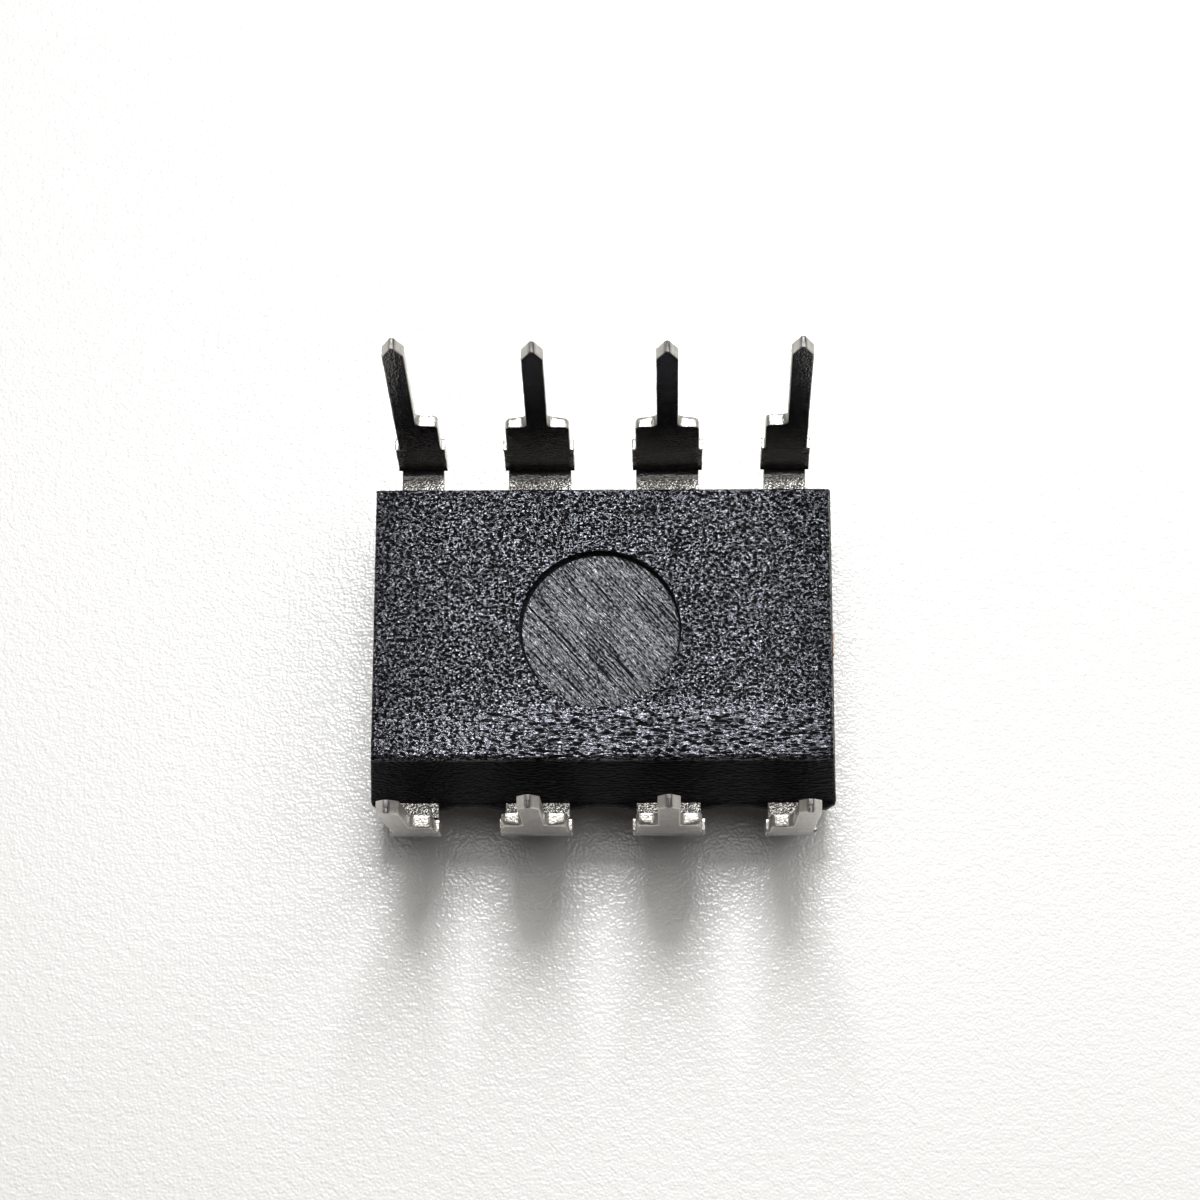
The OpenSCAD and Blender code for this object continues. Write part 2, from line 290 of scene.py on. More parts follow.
# Moulding compound: the grain's height is one noise, which turns into the same noise drawn out along X towards
# the -Y rim; finer noise lies over it. Pits are deeper than the bump can shade, so they lose their shine.
def mouldCompound(look):
    material, tree, shader = startMaterial("mouldCompound", IOR=look["ior"], Specular_Tint=look["tint"])
    places = objectPlaces(tree)
    x, y, z = addNode(tree, "SeparateXYZ", inputs={0: places}).outputs
    band = product(tree, remap(tree, y, look["bandFrom"] * mm, look["bandFull"] * mm),
                   remap(tree, x, look["bandLeft"] * mm, look["bandRight"] * mm, *look["bandShares"]))
    plainPlaces = objectPlaces(tree, (look["stretch"], 1, 1), location=look["grainStart"])
    plain = noiseField(tree, plainPlaces, look["grainPerMm"] * perMm, 1.0, 0.5)
    drawnPlaces = objectPlaces(tree, (look["bandStretch"], 1, 1))
    drawn = noiseField(tree, drawnPlaces, look["grainPerMm"] * perMm, 1.0, 0.5, 0.2)
    grain = blend(tree, band, plain, drawn)
    fine = noiseField(tree, places, look["finePerMm"] * perMm, 2.0, 0.6)
    normal = addBump(tree, grain, look["grainDepth"] * mm)
    normal = addBump(tree, fine, look["fineDepth"] * mm, under=normal)
    clouds = noiseField(tree, places, look["cloudsPerMm"] * perMm, 4.0, 0.6)
    colour = mixColours(tree, remap(tree, clouds, 0.35, 0.7), look["black"], look["grey"])
    specks = cellField(tree, places, look["specksPerMm"] * perMm)
    colour = mixColours(tree, remap(tree, specks, 0.12, 0.06), colour, look["filler"])
    fromMiddle = combine(tree, "ABSOLUTE", combine(tree, "SUBTRACT", z, bodyHeight / 2 * mm), 0.0)
    onFace = remap(tree, fromMiddle, (bodyHeight / 2 - look["faceFrom"]) * mm,
                   (bodyHeight / 2 - look["faceFull"]) * mm)
    faceGloss = remap(tree, grain, 0.4, 0.6, look["gloss"][1], look["gloss"][0])
    faceShine = product(
        tree, remap(tree, grain, look["pitEnd"], look["ridgeStart"], look["shine"][1], look["shine"][0]),
        blend(tree, band, 1.0, look["bandShine"]),
        remap(tree, combine(tree, "ABSOLUTE", x, 0.0), look["endFrom"] * mm, look["endFull"] * mm,
              1.0, look["endShine"]))
    feed(tree, shader, Normal=normal, Base_Color=colour,
         Roughness=blend(tree, onFace, look["wallGloss"], faceGloss),
         Specular_IOR_Level=blend(tree, onFace, look["wallShine"], faceShine))
    return material


ejectorLook = {
    # Painted sheen and shade: the mark is coloured much lighter than the black moulding on the scratches'
    # ridges, and dark in the grooves.
    "grooveShade": (0.009, 0.009, 0.010),
    "ridgeSheen": (0.085, 0.085, 0.090),
    "angle": math.radians(48),  # the scratches run down to the right
    "scratchPerMm": 25.0,
    "gritPerMm": 33.0,
    "depth": 0.075,
    "shine": (0.02, 1.0),  # specular level in the grooves and on the ridges
    "ior": 2.3,  # the smooth print shines more than the grained skin
    "tint": (0.92, 0.93, 1.0, 1.0),
}


# Floor of the ejector mark: the ejector pin's ground end printed its scratches, which are noise drawn out along
# one direction in the face, with grit that is drawn out less, and deeper grooves. Its colour is painted shade
# in the grooves and a painted sheen on the scratches' ridges.
def ejectorFloor(look):
    material, tree, shader = startMaterial("ejectorFloor", IOR=look["ior"], Specular_Tint=look["tint"])
    turned = objectPlaces(tree, rotation=(0, 0, look["angle"]))
    long = mapped(tree, turned, (0.03, 1, 0.1))
    scratches = noiseField(tree, long, look["scratchPerMm"] * perMm, 3.0, 0.75)
    deep = noiseField(tree, long, look["scratchPerMm"] * perMm, 1.0, 0.5)
    grit = noiseField(tree, mapped(tree, turned, (0.45, 1, 1)), look["gritPerMm"] * perMm, 1.0, 0.5)
    groove = remap(tree, deep, 0.39, 0.33)
    height = weighted(tree, (scratches, 1), (grit, 0.55), (groove, -0.4))
    tone = weighted(tree, (scratches, 0.6), (grit, 0.4))
    # Painted shade and sheen: share makes the colour dark in the grooves and light on the ridges, and sets the
    # specular level.
    share = weighted(tree, (remap(tree, tone, 0.45, 0.53), 1), (groove, -0.8))
    feed(tree, shader, Normal=addBump(tree, height, look["depth"] * mm),
         Base_Color=mixColours(tree, remap(tree, share, 0.0, 1.0), look["grooveShade"], look["ridgeSheen"]),
         Roughness=remap(tree, scratches, 0.35, 0.65, 0.36, 0.22),
         Specular_IOR_Level=remap(tree, share, 0.0, 1.0, *look["shine"]))
    return material


tinLook = {
    "bright": (0.80, 0.785, 0.745),
    "dull": (0.50, 0.485, 0.455),
    "cut": (0.62, 0.60, 0.56),  # sheared faces, plated thinner
    "residue": (0.030, 0.028, 0.027),  # moulding resin left at the root
    # Painted shade: the face towards the body is coloured darker from the bend up, where it faces the black
    # moulding; the cut ends' tarnish uses the same colour.
    "shadeAndTarnish": (0.135, 0.130, 0.130),  # of the face towards the body
    "worn": (0.17, 0.162, 0.150),  # lines that the bending tool left on the outer face
    "rootFrom": -0.40,  # path at which the resin's specks begin, and where they are dense
    "rootFull": -0.50,
    # The cut ends take the same darker colour as the painted shade on the face towards the body, here as
    # tarnish.
    "tipFrom": 4.77,  # the cut ends are tarnished too, and rougher
    "tipFull": 4.85,
    "tipGloss": 0.6,
    "gloss": (0.14, 0.26),
    "grain": 0.006,
    "streaks": (9.0, 4.0, 0.65),  # how fine, how many octaves and how strong the finer ones are
    "clouds": (2.6, 3.0, 0.6),
    "torn": (22.0, 3.0, 0.7),
    "specks": (34.0, 1.0, 0.5),
    "toolLines": (4.0, 4.0, 0.6, 0.2),
    "crystals": 24.0,
    "tornDepth": 2.0,  # depths against the crystals'
    "speckDepth": 3.5,
    "lineDepth": 2.5,
}


# Tin plating: colour and gloss follow noise drawn out along the lead, whose attribute path holds across, along
# and through. Matte crystal grain lies over it, and sheared faces are torn and duller. The face towards the
# body is darkened from the bend up by painted shade, where it faces the black moulding, and has specks of resin
# at the root; the cut ends are tarnished; the outer face has lines across it from the tool.
def tinPlate(look):
    material, tree, shader = startMaterial("tinPlate")
    path = addNode(tree, "Attribute", {"attribute_name": "path"}).outputs["Vector"]
    _, along, through = addNode(tree, "SeparateXYZ", inputs={0: path}).outputs
    sheared = addNode(tree, "Attribute", {"attribute_name": "sheared"}).outputs["Fac"]
    streaks = noiseField(tree, mapped(tree, path, (1, 0.12, 1)), *look["streaks"])
    clouds = noiseField(tree, path, *look["clouds"])
    crystals = cellField(tree, path, look["crystals"])
    torn = noiseField(tree, mapped(tree, path, (1, 1, 0.25)), *look["torn"])
    speckled = noiseField(tree, mapped(tree, path, (0.8, 1, 1)), *look["specks"])
    toolLines = noiseField(tree, mapped(tree, path, (0.3, 1, 0.5)), *look["toolLines"])
    flat = combine(tree, "SUBTRACT", 1.0, sheared)
    atRoot = product(tree, remap(tree, along, look["rootFrom"], look["rootFull"]), flat)
    atTip = remap(tree, along, look["tipFrom"], look["tipFull"])
    nearBend = remap(tree, along, 1.1, 0.2)
    resin = product(tree, remap(tree, speckled, 0.49, 0.56, 0.0, 0.9), atRoot)
    # Painted shade: the face towards the body is darkened from the bend up, where it faces the black moulding;
    # the tips add their tarnish.
    shadeAndTarnish = product(tree, remap(tree, through, -0.06, -0.115), flat,
                      remap(tree, along, -0.58, -0.42, 0.0, 0.92))
    shadeAndTarnish = combine(tree, "MAXIMUM", shadeAndTarnish, product(tree, atTip, 0.95))
    worn = product(tree, remap(tree, through, 0.03, 0.085), flat,
                   remap(tree, toolLines, 0.57, 0.42, 0.0, 0.8), nearBend)
    tone = weighted(tree, (streaks, 0.5), (clouds, 0.5))
    colour = mixColours(tree, remap(tree, tone, 0.36, 0.62), look["dull"], look["bright"])
    cut = product(tree, sheared, remap(tree, torn, 0.3, 0.7))
    for share, layer in ((cut, "cut"), (shadeAndTarnish, "shadeAndTarnish"), (worn, "worn"), (resin, "residue")):
        colour = mixColours(tree, share, colour, look[layer])
    gloss = remap(tree, weighted(tree, (tone, 1), (crystals, 0.2)), 0.45, 0.75,
                  look["gloss"][1], look["gloss"][0])
    gloss = weighted(tree, (gloss, 1), (combine(tree, "MAXIMUM", sheared, resin), 0.15))
    height = weighted(tree, (crystals, 1), (streaks, 1), (product(tree, torn, sheared), look["tornDepth"]),
                      (product(tree, speckled, atRoot), look["speckDepth"]),
                      (product(tree, toolLines, nearBend), look["lineDepth"]))
    feed(tree, shader, Base_Color=colour, Metallic=combine(tree, "SUBTRACT", 1.0, resin),
         Roughness=combine(tree, "MAXIMUM", gloss, product(tree, atTip, look["tipGloss"])),
         Normal=addBump(tree, height, look["grain"] * mm))
    return material


innerLooks = {
    "die_paddle": {"name": "copperAlloy", "low": (0.17, 0.115, 0.085), "high": (0.34, 0.24, 0.18), "metal": 1.0,
                   "gloss": (0.4, 0.65), "scale": 6.0, "stretch": (0.15, 1, 1), "depth": 0.003},
    "die_adhesive": {"name": "silverEpoxy", "low": (0.42, 0.42, 0.43), "high": (0.7, 0.7, 0.7), "metal": 0.6,
                     "gloss": (0.35, 0.6), "scale": 14.0, "stretch": (1, 1, 1), "depth": 0.004},
    "silicon_die": {"name": "siliconDie", "low": (0.10, 0.11, 0.16), "high": (0.30, 0.31, 0.38), "metal": 0.35,
                    "gloss": (0.08, 0.25), "scale": 9.0, "stretch": (1, 1, 0.2), "depth": 0.001},
    "bond_wire": {"name": "goldWire", "low": (0.80, 0.52, 0.18), "high": (1.0, 0.76, 0.36), "metal": 1.0,
                  "gloss": (0.15, 0.32), "scale": 30.0, "stretch": (1, 1, 1), "depth": 0.0008},
}


# Finish of a piece inside the moulding: colour, gloss and bump all follow one stretched noise.
def innerFinish(look):
    material, tree, shader = startMaterial(look["name"], Metallic=look["metal"])
    field = noiseField(tree, objectPlaces(tree, look["stretch"]), look["scale"] * perMm, 5.0, 0.6)
    feed(tree, shader, Base_Color=mixColours(tree, remap(tree, field, 0.35, 0.65), look["low"], look["high"]),
         Roughness=remap(tree, field, 0.3, 0.7, look["gloss"][1], look["gloss"][0]),
         Normal=addBump(tree, field, look["depth"] * mm))
    return material


# Moulded body

bodyShape = {
    "sideDraft": math.radians(18.4),
    "endDraft": math.radians(4),
    "halfWidth": 3.21,  # at the leads
    "sheetHalf": sheetThickness / 2,  # the walls stand upright beside the sheet, where the mould closes on it
    "edge": 0.08,  # rounding of the edges round both faces
    "corner": 0.05,  # rounding of the upright corners
    "markRadius": 1.56,
    "markDepth": 0.12,
    "markPlace": (-0.04, -0.12),
    "markLip": 0.014,
    "grooveWidth": 0.048,  # the ejector's worn edge leaves a groove round the mark's floor
    "grooveDepth": 0.04,
    "grooveShift": (0.014, -0.032),  # it is wider towards the far side
    "notchRadius": 0.8,
    "notchDepth": 0.55,
    "webHalf": 0.115,  # half the thickness of the moulding left level with the leads
    "webReach": 0.06,  # beside the leads, if the body were in the middle of the frame
    "webSag": 0.10,  # depth of the scallops between them
    "webShift": 0.05,  # the body sits off the frame's middle by this much
    "webHeel": 0.07,  # reach of the hollow curve, and the length over which it falls
    "webFall": 0.18,
    "webCorner": 0.18,  # length of the slanted cuts
    "webEdge": 0.018,  # rounding of the web's two edges
    "grain": 0.010,  # depth of the grain in the mesh itself
    "grainPerMm": 9.0,
    "scratch": 0.006,  # and of the scratches in the mark's floor
    "sideSteps": 140,  # intervals along a long side
    "endSteps": 100,  # and along an end
    "cornerSteps": 3,  # of these, on half of a corner's rounding
    "notchSteps": 40,  # of an end's, across the notch
}
leadPlan = {"pitch": 2.54, "shoulderWidth": 1.25, "legWidth": 0.42}  # what the web follows


# Places along a straight stretch from low to high, closer together towards its ends: s + k(s - s^3), where s
# runs from -1 to 1.
def spread(low, high, steps, crowding=0.28):
    s = np.linspace(-1, 1, steps + 1)
    s = s * (1 + crowding) - crowding * s**3
    return (low + high) / 2 + s * (high - low) / 2


# One side of a rounded rectangle: half a corner's arc, the straight stretch, half of the next corner's arc.
# The side runs along the first axis from low to high; the second coordinate is how far it lies outward.
def roundedSide(half, outward, radius, straight, cornerSteps):
    turn = np.linspace(-math.pi / 4, 0, cornerSteps + 1)[:-1]
    start = np.stack([-half + radius + radius * np.sin(turn), outward - radius + radius * np.cos(turn)], -1)
    middle = np.stack([straight, np.full(len(straight), outward)], -1)
    end = start[::-1] * (-1, 1)
    return np.concatenate([start, middle, end])


# Closed outline of the body at one height, anticlockwise from the corner at -X, -Y, with sideSteps points for
# each long side and endSteps for each end. At the end at -X the places across the notch follow its arc.
def bodyOutline(halfLength, halfWidth, radius, shape):
    corner = shape["cornerSteps"]
    longStraight = spread(-halfLength + radius, halfLength - radius, shape["sideSteps"] - 2 * corner)
    endStraight = spread(-halfWidth + radius, halfWidth - radius, shape["endSteps"] - 2 * corner, 0.1)
    outside = (shape["endSteps"] - 2 * corner - shape["notchSteps"]) // 2
    reach = shape["notchRadius"]
    below = np.linspace(-halfWidth + radius, -reach, outside + 1)[:-1]
    across = -reach * np.cos(np.linspace(0, math.pi, shape["notchSteps"] + 1))
    notched = np.concatenate([below, across, -below[::-1]])
    near = roundedSide(halfLength, halfWidth, radius, longStraight, corner)
    right = roundedSide(halfWidth, halfLength, radius, endStraight, corner)
    left = roundedSide(halfWidth, halfLength, radius, notched, corner)
    sides = [np.stack([near[:, 0], -near[:, 1]], -1), np.stack([right[:, 1], right[:, 0]], -1),
             np.stack([-near[:, 0], near[:, 1]], -1), np.stack([-left[:, 1], -left[:, 0]], -1)]
    return np.concatenate([side[:-1] for side in sides])


# Circle with its points shared out like the outline's: equal angles over the quarter that faces each side.
def matchingCircle(radius, centre, shape):
    quarters = [np.linspace(0, math.pi / 2, steps + 1)[:-1] + turn for steps, turn in (
        (shape["sideSteps"], -0.75 * math.pi), (shape["endSteps"], -0.25 * math.pi),
        (shape["sideSteps"], 0.25 * math.pi), (shape["endSteps"], 0.75 * math.pi))]
    angle = np.concatenate(quarters)
    return np.stack([np.cos(angle), np.sin(angle)], -1) * radius + centre


# Disc from a square grid: the larger coordinate is the radius, and the other one's share of it the angle.
def discGrid(radius, centre, shape):
    u, v = np.meshgrid(np.linspace(-1, 1, shape["sideSteps"] + 1), np.linspace(-1, 1, shape["endSteps"] + 1))
    wide = np.abs(u) >= np.abs(v)
    size = np.where(wide, u, v)
    safe = np.where(size == 0, 1, size)
    angle = math.pi / 4 * np.where(wide, v / safe, 2 - u / safe)
    return np.stack([size * np.cos(angle), size * np.sin(angle)], -1) * radius + centre


# Face patch inside a closed outline: opposite sides are blended and the corners' double share taken off. The
# shares are the places along the -Y side and the +X side, so that crowded columns stay in order.
def patchInside(outline, shape):
    n, m = shape["sideSteps"], shape["endSteps"]
    loop = np.concatenate([outline, outline[:1]])
    low, right = loop[:n + 1], loop[n:n + m + 1]
    high, left = loop[n + m:2 * n + m + 1][::-1], loop[2 * n + m:][::-1]
    u = ((low[:, 0] - low[0, 0]) / (low[-1, 0] - low[0, 0]))[None, :, None]
    v = ((right[:, 1] - right[0, 1]) / (right[-1, 1] - right[0, 1]))[:, None, None]
    corners = ((1 - u) * (1 - v) * low[0] + u * (1 - v) * low[-1] + (1 - u) * v * high[0] + u * v * high[-1])
    return (1 - v) * low[None] + v * high[None] + (1 - u) * left[:, None] + u * right[:, None] - corners


# How far the web of moulding stands out of a long wall at x: arcs between the leads, a hollow curve outside the
# corner leads of the +Y row, and slanted cuts at the corners of the -Y row.
def webStandout(x, farRow, shape, plan):
    gap = plan["pitch"] - plan["shoulderWidth"]
    sag = shape["webSag"]
    arc = (gap * gap / 4 + sag * sag) / (2 * sag)
    fromGap = np.abs((x + plan["pitch"] / 2) % plan["pitch"] - plan["pitch"] / 2)
    fromGap = np.where(np.abs(x) > 1.5 * plan["pitch"], plan["pitch"] / 2, fromGap)
    scallop = np.minimum(0, arc - np.sqrt(arc * arc - fromGap**2) - sag)
    reach = shape["webReach"] + np.where(farRow, -1, 1) * shape["webShift"]
    standout = np.maximum(reach + scallop, 0)
    past = (np.abs(x) - 1.5 * plan["pitch"] - plan["legWidth"] / 2) / shape["webFall"]
    hollow = shape["webHeel"] * (1 - np.sqrt(1 - (1 - np.clip(past, 0, 1))**2))
    slant = np.clip((bodyHalfLength - np.abs(x)) / shape["webCorner"], 0, 1)
    return np.where(farRow, np.where(past > 0, hollow, standout), standout * slant)


# Half length and half width of the body at a height, drawn in by the two drafts above and below the sheet.
def bodyHalves(height, shape, inset=0.0):
    away = max(abs(height - partingHeight) - shape["sheetHalf"], 0)
    return (bodyHalfLength - away * math.tan(shape["endDraft"]) - inset,
            shape["halfWidth"] - away * math.tan(shape["sideDraft"]) - inset)


# Rings of the body from the ejector mark's floor out over the underside, down the walls with the web, and under
# to the marking face. Each ring is the outline at one height; the edges are quarter circles.
def bodyRings(shape):
    rings = []

    def addRing(plan, height):
        rings.append(raised(plan, height))

    def addCircle(radius, centre, depth):
        addRing(matchingCircle(radius, centre, shape), bodyHeight - depth)

    def outlineAt(height, inset=0.0):
        return bodyOutline(*bodyHalves(height, shape, inset), max(shape["corner"] - inset * 0.5, 0.01), shape)

    top = bodyHeight
    lip = shape["markLip"]
    deepest = shape["markDepth"] + shape["grooveDepth"]
    centre, shift = np.array(shape["markPlace"]), np.array(shape["grooveShift"])
    for share, depth in ((1, shape["markDepth"]), (0.9, shape["markDepth"] + 0.008), (0.8, deepest - 0.01),
                         (0.7, deepest), (0.2, deepest), (0, deepest - 0.01)):
        addCircle(shape["markRadius"] - shape["grooveWidth"] * share, centre + shift * share, depth)
    for depth in np.linspace(shape["markDepth"], lip, 3):
        addCircle(shape["markRadius"], centre, depth)
    for turn in np.linspace(0, math.pi / 2, 4)[1:]:
        addCircle(shape["markRadius"] + lip * (1 - math.cos(turn)), centre, lip * (1 - math.sin(turn)))
    circle = rings[-1][:, :2]
    edge = shape["edge"]
    rim = outlineAt(top, edge)
    for share in np.linspace(0, 1, 41)[1:]:
        addRing(circle + (rim - circle) * share, top)
    for turn in np.linspace(math.pi / 2, 0, 7)[1:]:
        height = top - edge + edge * math.sin(turn)
        addRing(outlineAt(height, edge * (1 - math.cos(turn))), height)
    webTop, webLow = partingHeight + shape["webHalf"], partingHeight - shape["webHalf"]
    for height in np.linspace(top - edge, webTop, 26)[1:]:
        addRing(outlineAt(height), height)
    parting = outlineAt(partingHeight)
    onSide = np.zeros(len(parting))
    n, m = shape["sideSteps"], shape["endSteps"]
    onSide[:n] = -1
    onSide[n + m:2 * n + m] = 1
    standout = np.where(onSide == 0, 0, webStandout(parting[:, 0], onSide > 0, shape, leadPlan))
    rough = smoothNoise(np.stack([parting[:, 0] * 9, parting[:, 1] * 9, onSide], -1), 5) - 0.5
    standout = np.maximum(standout + np.where(standout > 0.02, rough * 0.02 - 0.006, 0), 0)
    corner = shape["webEdge"]
    for share, height in ((0.35, webTop), (0.7, webTop), (None, webTop), (None, webTop - corner * 0.3),
                          (1, webTop - corner), (1, partingHeight), (1, webLow + corner),
                          (None, webLow + corner * 0.3), (None, webLow), (0.7, webLow), (0.35, webLow)):
        wall = outlineAt(height)
        inner = corner if height in (webTop, webLow) else corner * 0.3
        reach = standout if share == 1 else np.maximum(standout - inner, 0) * (share or 1)
        base = parting if share == 1 else wall + (parting - wall) * (share or 1)
        addRing(base + np.stack([np.zeros(len(reach)), onSide * reach], -1), height)
    addRing(outlineAt(webLow), webLow)
    for height in np.linspace(webLow, shape["notchDepth"], 16)[1:]:
        addRing(outlineAt(height), height)
    for share in np.linspace(0, 1, 9)[1:]:
        plan = outlineAt(shape["notchDepth"]).copy()
        plan[:, 0] += (np.maximum(notchArc(plan, shape), plan[:, 0]) - plan[:, 0]) * share
        addRing(plan, shape["notchDepth"])
    lowHeights = [(h, 0.0) for h in np.linspace(shape["notchDepth"], edge, 8)[1:]]
    lowHeights += [(edge - edge * math.sin(t), edge * (1 - math.cos(t)))
                   for t in np.linspace(0, math.pi / 2, 7)[1:]]
    for height, inset in lowHeights:
        plan = outlineAt(height, inset)
        plan[:, 0] = np.maximum(plan[:, 0], notchArc(plan, shape, inset * 0.25))
        addRing(plan, height)
    return np.stack(rings)


# For each point of a ring, how far inward the notch's arc pushes it: x = xEnd + sqrt(r^2 - y^2), with r larger
# by grow at the rounded edge.
def notchArc(plan, shape, grow=0.0):
    xEnd = -bodyHalves(0, shape)[0]
    reach = shape["notchRadius"] + grow
    onEnd = np.arange(len(plan)) >= 2 * shape["sideSteps"] + shape["endSteps"]
    inside = onEnd & (np.abs(plan[:, 1]) < reach - 1e-9)
    depth = np.sqrt(np.maximum(reach**2 - plan[:, 1]**2, 0))
    return np.where(inside, xEnd + depth, -2 * bodyHalfLength)


# The body is three surfaces sewn together: the mark's floor, the rings, and the marking face. The grain then
# sinks each point along its normal, so that nothing stands proud of the flat faces.
def makeBody(shape, materials):
    rings = bodyRings(shape)
    floorCentre = np.array(shape["markPlace"]) + np.array(shape["grooveShift"])
    floorPlan = discGrid(shape["markRadius"] - shape["grooveWidth"], floorCentre, shape)
    markFloor = raised(floorPlan, bodyHeight - shape["markDepth"])
    face = raised(patchInside(rings[-1][:, :2], shape), 0)
    points = np.concatenate([rings.reshape(-1, 3), markFloor.reshape(-1, 3), face.reshape(-1, 3)])
    ringQuads = gridQuads(len(rings), rings.shape[1], 0, closed=True)[:, ::-1]
    floorQuads = gridQuads(*markFloor.shape[:2], first=rings.shape[0] * rings.shape[1])
    faceQuads = gridQuads(*face.shape[:2], first=len(points) - face.shape[0] * face.shape[1])[:, ::-1]
    quads = np.concatenate([ringQuads, floorQuads, faceQuads])
    index = np.repeat([0, 1, 0], [len(ringQuads), len(floorQuads), len(faceQuads)])
    piece = makePiece("mouldedBody", points, quads, materials, index)
    mesh = piece.data
    place = readVectors(mesh.vertices, "co") / mm
    normal = readVectors(mesh.vertex_normals, "vector")
    fromMark = np.hypot(place[:, 0] - shape["markPlace"][0], place[:, 1] - shape["markPlace"][1])
    inMark = (fromMark < shape["markRadius"] + 0.01) & (place[:, 2] > bodyHeight / 2)
    coarse = smoothNoise(place * shape["grainPerMm"], 11)
    grain = coarse * 0.65 + smoothNoise(place * shape["grainPerMm"] * 2, 12) * 0.35
    c, s = math.cos(ejectorLook["angle"]), math.sin(ejectorLook["angle"])
    along = place[:, 0] * c - place[:, 1] * s
    across = place[:, 0] * s + place[:, 1] * c
    scratch = smoothNoise(np.stack([along * 0.8, across * 16, place[:, 2] * 0], -1), 13)
    depth = np.where(inMark, scratch * shape["scratch"], grain * shape["grain"])
    mesh.vertices.foreach_set("co", ((place - normal * depth[:, None]) * mm).astype(np.float32).ravel())
    mesh.update()
    return piece


# Leads

leadShape = {
    **leadPlan,
    "sheet": sheetThickness,
    "rowHalfGap": 3.6,
    "splay": math.radians(7),
    "cornerSplay": math.radians(8),
    "firstLean": math.radians(0.9),  # lead 1's leg leans away from lead 2
    "bendRadius": 0.2,
    "shoulderLength": 2.05,
    "legLength": 3.1,
    "stepFillet": 0.13,
    "stepCorner": 0.12,
    "coreLag": 0.32,  # how far the core line stays behind the step before it
    "cornerRoll": 0.075,  # the punch rolled the outer edge over further at the step's corner
    "rollReach": 0.34,  # along the edge to either side of the corner
    "tipTaper": 0.3,
    "tipWidth": 0.1,
    "stubOverhang": 0.07,
    "stubStart": 0.12,
    "stubLength": 0.94,
    "fingerEnd": 1.5,  # where an inner lead's finger begins, from the middle of the body
    "fingerWidth": 0.55,
    "lockPlace": 2.66,  # where the finger narrows to lock in the moulding
    "cornerReach": 1.96,  # a corner lead's finger turns in by this much
    "cornerFinger": (0.375, 0.925),  # and lies between these distances from the middle
    "endRound": 0.015,  # rounding of the tip's end
    "innerEdge": 0.018,  # rounding of the edges towards the body
    "outerEdge": 0.035,  # and of those that the punch rolled over
    "tear": 0.012,  # unevenness of the sheared stubs
    "wave": 0.006,  # and of every edge
}
facePoints = 23  # points of a section on each flat face of the sheet
cutPoints = 11  # and on each sheared one


# Radius of the bend in the middle of the sheet.
def bendMiddle(shape):
    return shape["bendRadius"] + shape["sheet"] / 2


# Path length from the end of the bend, for the sheet's middle, of a place that is so far along the leg's line.
def pathOf(along, splay, shape):
    middleRadius = bendMiddle(shape)
    end = bendEnd(splay, shape)
    if along >= end:
        return along - end
    return -middleRadius * math.asin((end - along) / middleRadius)


# Distance along the leg's line at which the bend ends: (t/2 + r(1 - sin a)) / cos a.
def bendEnd(splay, shape):
    return (shape["sheet"] / 2 + shape["bendRadius"] * (1 - math.sin(splay))) / math.cos(splay)


# Distance from the middle of the body to the start of the bend, above which the bend's centre lies.
def bendStart(splay, shape):
    return shape["rowHalfGap"] + bendEnd(splay, shape) * math.sin(splay) - shape["bendRadius"] * math.cos(splay)


# Bends flat sheet points (across, path, through) into the lead's form, as y and z: straight out of the body,
# round the bend about its centre, and up the leg's line. Through runs from the inner to the outer face.
def bendSheet(flat, splay, shape):
    path, through = flat[..., 1], flat[..., 2]
    middleRadius = bendMiddle(shape)
    fullTurn = math.pi / 2 - splay
    radius = middleRadius + through
    turn = np.clip(fullTurn + path / middleRadius, 0, fullTurn)
    over = np.maximum(path, 0)  # stretch up the leg
    under = np.maximum(-path - middleRadius * fullTurn, 0)  # stretch inside the bend, towards the body
    y = bendStart(splay, shape) + radius * np.sin(turn) + over * math.sin(splay) - under
    z = partingHeight + middleRadius - radius * np.cos(turn) + over * math.cos(splay)
    return y, z


# Path lengths at which the cut stubs of the frame's tie begin and end.
def stubPaths(splay, shape):
    return [pathOf(shape["stubStart"] + length, splay, shape) for length in (0, shape["stubLength"])]


# Straight run between two stations, without its first point.
def between(start, end, steps):
    return np.array(start) + (np.array(end) - np.array(start)) * np.linspace(0, 1, steps + 1)[1:, None]


